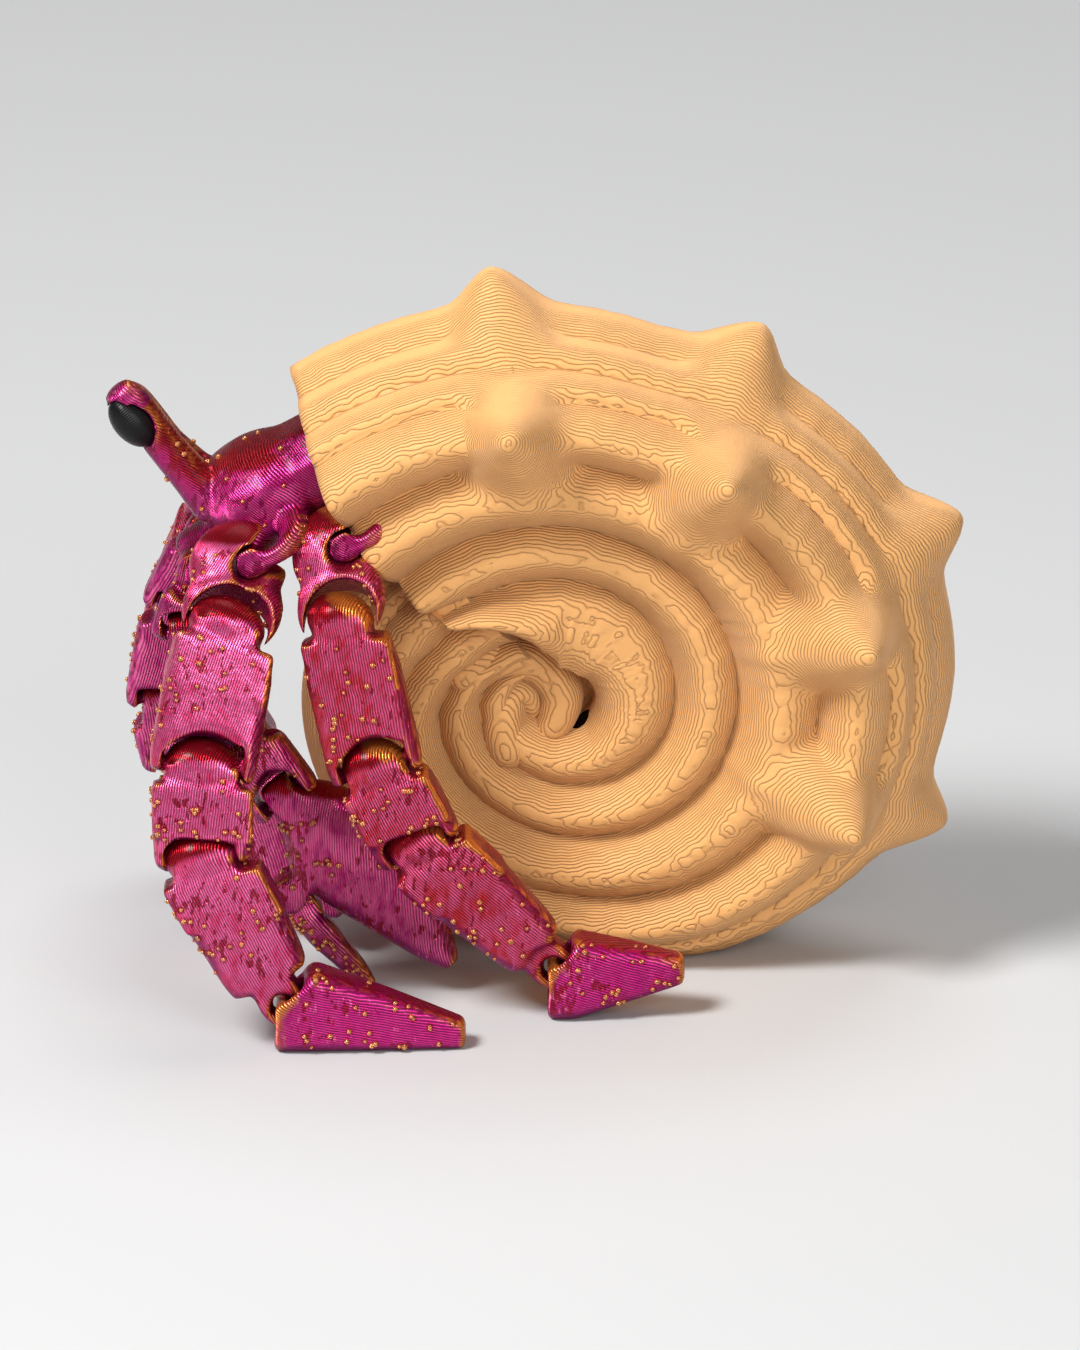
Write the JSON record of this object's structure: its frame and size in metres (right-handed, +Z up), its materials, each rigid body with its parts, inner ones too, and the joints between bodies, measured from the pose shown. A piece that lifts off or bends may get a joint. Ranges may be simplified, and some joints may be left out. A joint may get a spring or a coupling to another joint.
{
  "type": "articulated toy hermit crab",
  "caption": "Printed toy hermit crab: a spiny coiled shell with a crab in its mouth, its legs and claws jointed in links that turn on pins.",
  "frame": {"origin": "middle of the bottom of the bounding box, on the floor the feet and shell stand on", "axes": "the crab faces -X; its left side, the one with the shell's coil, is -Y; +Z is up"},
  "size_m": [0.0754, 0.0492, 0.0659],
  "materials": {
    "shell": "matte tan print with fine contour-like layer lines",
    "crab": "silky two-tone print, magenta turning to red and orange",
    "eyes": "glossy black"
  },
  "bodies": {
    "root": {"shell": "shell", "body": "crab", "eye_left": "eyes", "eye_right": "eyes"},
    "leg_1_left_coxa": {"leg_1_left_coxa": "crab"},
    "leg_1_left_merus": {"leg_1_left_merus": "crab"},
    "leg_1_left_carpus": {"leg_1_left_carpus": "crab"},
    "leg_1_left_propodus": {"leg_1_left_propodus": "crab"},
    "leg_1_left_foot": {"leg_1_left_foot": "crab"},
    "leg_1_right_coxa": {"leg_1_right_coxa": "crab"},
    "leg_1_right_merus": {"leg_1_right_merus": "crab"},
    "leg_1_right_carpus": {"leg_1_right_carpus": "crab"},
    "leg_1_right_propodus": {"leg_1_right_propodus": "crab"},
    "leg_1_right_foot": {"leg_1_right_foot": "crab"},
    "leg_2_left_coxa": {"leg_2_left_coxa": "crab"},
    "leg_2_left_merus": {"leg_2_left_merus": "crab"},
    "leg_2_left_carpus": {"leg_2_left_carpus": "crab"},
    "leg_2_left_propodus": {"leg_2_left_propodus": "crab"},
    "leg_2_left_foot": {"leg_2_left_foot": "crab"},
    "leg_2_right_coxa": {"leg_2_right_coxa": "crab"},
    "leg_2_right_merus": {"leg_2_right_merus": "crab"},
    "leg_2_right_carpus": {"leg_2_right_carpus": "crab"},
    "leg_2_right_propodus": {"leg_2_right_propodus": "crab"},
    "leg_2_right_foot": {"leg_2_right_foot": "crab"},
    "claw_left_coxa": {"claw_left_coxa": "crab"},
    "claw_left_merus": {"claw_left_merus": "crab"},
    "claw_left_carpus": {"claw_left_carpus": "crab"},
    "claw_left_palm": {"claw_left_palm": "crab"},
    "claw_left_finger": {"claw_left_finger": "crab"},
    "claw_right_coxa": {"claw_right_coxa": "crab"},
    "claw_right_merus": {"claw_right_merus": "crab"},
    "claw_right_carpus": {"claw_right_carpus": "crab"},
    "claw_right_palm": {"claw_right_palm": "crab"},
    "claw_right_finger": {"claw_right_finger": "crab"}
  },
  "joints": [
    {"name": "leg_1_left_coxa_hinge", "type": "hinge", "parent": "root", "child": "leg_1_left_coxa", "pos_m": [-0.02488, -0.0094, 0.0404], "axis": [0, 1, 0], "range_deg": [-15, 10]},
    {"name": "leg_1_left_merus_hinge", "type": "hinge", "parent": "leg_1_left_coxa", "child": "leg_1_left_merus", "pos_m": [-0.02688, -0.0136, 0.0356], "axis": [0.9607, 0, -0.2775], "range_deg": [-20, 3]},
    {"name": "leg_1_left_carpus_hinge", "type": "hinge", "parent": "leg_1_left_merus", "child": "leg_1_left_carpus", "pos_m": [-0.02898, -0.0184, 0.0244], "axis": [0.9959, 0, -0.0907], "range_deg": [-20, 3]},
    {"name": "leg_1_left_propodus_hinge", "type": "hinge", "parent": "leg_1_left_carpus", "child": "leg_1_left_propodus", "pos_m": [-0.02898, -0.0206, 0.0169], "axis": [0.9689, 0, 0.2476], "range_deg": [-20, 3]},
    {"name": "leg_1_left_foot_hinge", "type": "hinge", "parent": "leg_1_left_propodus", "child": "leg_1_left_foot", "pos_m": [-0.02208, -0.022, 0.004], "axis": [0, 1, 0], "range_deg": [-4, 15]},
    {"name": "leg_1_right_coxa_hinge", "type": "hinge", "parent": "root", "child": "leg_1_right_coxa", "pos_m": [-0.02488, 0.0094, 0.0404], "axis": [0, 1, 0], "range_deg": [-8, 10]},
    {"name": "leg_1_right_merus_hinge", "type": "hinge", "parent": "leg_1_right_coxa", "child": "leg_1_right_merus", "pos_m": [-0.02748, 0.0136, 0.0356], "axis": [0.9307, 0, -0.3658], "range_deg": [-3, 20]},
    {"name": "leg_1_right_carpus_hinge", "type": "hinge", "parent": "leg_1_right_merus", "child": "leg_1_right_carpus", "pos_m": [-0.03058, 0.0184, 0.0244], "axis": [0.9912, 0, -0.1321], "range_deg": [-3, 20]},
    {"name": "leg_1_right_propodus_hinge", "type": "hinge", "parent": "leg_1_right_carpus", "child": "leg_1_right_propodus", "pos_m": [-0.03058, 0.0206, 0.0169], "axis": [0.9642, 0, 0.2651], "range_deg": [-3, 20]},
    {"name": "leg_1_right_foot_hinge", "type": "hinge", "parent": "leg_1_right_propodus", "child": "leg_1_right_foot", "pos_m": [-0.02308, 0.022, 0.004], "axis": [0, 1, 0], "range_deg": [-4, 15]},
    {"name": "leg_2_left_coxa_hinge", "type": "hinge", "parent": "root", "child": "leg_2_left_coxa", "pos_m": [-0.01678, -0.0089, 0.0417], "axis": [0, 1, 0], "range_deg": [-12, 12]},
    {"name": "leg_2_left_merus_hinge", "type": "hinge", "parent": "leg_2_left_coxa", "child": "leg_2_left_merus", "pos_m": [-0.01708, -0.013, 0.0359], "axis": [0.9946, 0, 0.1035], "range_deg": [-20, 2]},
    {"name": "leg_2_left_carpus_hinge", "type": "hinge", "parent": "leg_2_left_merus", "child": "leg_2_left_carpus", "pos_m": [-0.01408, -0.015, 0.0232], "axis": [0.9369, 0, 0.3496], "range_deg": [-20, 4]},
    {"name": "leg_2_left_propodus_hinge", "type": "hinge", "parent": "leg_2_left_carpus", "child": "leg_2_left_propodus", "pos_m": [-0.01048, -0.0152, 0.0163], "axis": [0.8062, 0, 0.5916], "range_deg": [-20, 6]},
    {"name": "leg_2_left_foot_hinge", "type": "hinge", "parent": "leg_2_left_propodus", "child": "leg_2_left_foot", "pos_m": [0.00132, -0.0144, 0.0045], "axis": [0, 1, 0], "range_deg": [-4, 15]},
    {"name": "leg_2_right_coxa_hinge", "type": "hinge", "parent": "root", "child": "leg_2_right_coxa", "pos_m": [-0.01678, 0.0089, 0.0417], "axis": [0, 1, 0], "range_deg": [0, 12]},
    {"name": "leg_2_right_merus_hinge", "type": "hinge", "parent": "leg_2_right_coxa", "child": "leg_2_right_merus", "pos_m": [-0.01708, 0.013, 0.0359], "axis": [0.9946, 0, 0.1035], "range_deg": [0, 20]},
    {"name": "leg_2_right_carpus_hinge", "type": "hinge", "parent": "leg_2_right_merus", "child": "leg_2_right_carpus", "pos_m": [-0.01408, 0.015, 0.0232], "axis": [0.9369, 0, 0.3496], "range_deg": [0, 20]},
    {"name": "leg_2_right_propodus_hinge", "type": "hinge", "parent": "leg_2_right_carpus", "child": "leg_2_right_propodus", "pos_m": [-0.01048, 0.0152, 0.0163], "axis": [0.8062, 0, 0.5916], "range_deg": [0, 20]},
    {"name": "leg_2_right_foot_hinge", "type": "hinge", "parent": "leg_2_right_propodus", "child": "leg_2_right_foot", "pos_m": [0.00132, 0.0144, 0.0045], "axis": [0, 1, 0], "range_deg": [-3, 15]},
    {"name": "claw_left_coxa_hinge", "type": "hinge", "parent": "root", "child": "claw_left_coxa", "pos_m": [-0.02948, -0.0049, 0.0378], "axis": [0, 1, 0], "range_deg": [-20, 20]},
    {"name": "claw_left_merus_hinge", "type": "hinge", "parent": "claw_left_coxa", "child": "claw_left_merus", "pos_m": [-0.03048, -0.0066, 0.0326], "axis": [0.9914, 0, 0.1311], "range_deg": [-3, 3]},
    {"name": "claw_left_carpus_hinge", "type": "hinge", "parent": "claw_left_merus", "child": "claw_left_carpus", "pos_m": [-0.02668, -0.0084, 0.0246], "axis": [0.857, 0, 0.5153], "range_deg": [-3, 3]},
    {"name": "claw_left_palm_hinge", "type": "hinge", "parent": "claw_left_carpus", "child": "claw_left_palm", "pos_m": [-0.02208, -0.0095, 0.0184], "axis": [0.7601, 0, 0.6497], "range_deg": [-6, 6]},
    {"name": "claw_left_finger_hinge", "type": "hinge", "parent": "claw_left_palm", "child": "claw_left_finger", "pos_m": [-0.02167, -0.0095, 0.00956], "axis": [0, 1, 0], "range_deg": [0, 20]},
    {"name": "claw_right_coxa_hinge", "type": "hinge", "parent": "root", "child": "claw_right_coxa", "pos_m": [-0.02908, 0.0049, 0.0378], "axis": [0, 1, 0], "range_deg": [-3, 20]},
    {"name": "claw_right_merus_hinge", "type": "hinge", "parent": "claw_right_coxa", "child": "claw_right_merus", "pos_m": [-0.03168, 0.007, 0.0306], "axis": [0.9677, 0, -0.2521], "range_deg": [-6, 15]},
    {"name": "claw_right_carpus_hinge", "type": "hinge", "parent": "claw_right_merus", "child": "claw_right_carpus", "pos_m": [-0.03328, 0.0086, 0.021], "axis": [0.9997, 0, 0.0228], "range_deg": [-6, 20]},
    {"name": "claw_right_palm_hinge", "type": "hinge", "parent": "claw_right_carpus", "child": "claw_right_palm", "pos_m": [-0.03208, 0.0096, 0.0154], "axis": [0.8496, 0, 0.5274], "range_deg": [-15, 20]},
    {"name": "claw_right_finger_hinge", "type": "hinge", "parent": "claw_right_palm", "child": "claw_right_finger", "pos_m": [-0.03087, 0.00628, 0.00728], "axis": [0, 1, 0], "range_deg": [0, 20]}
  ]
}
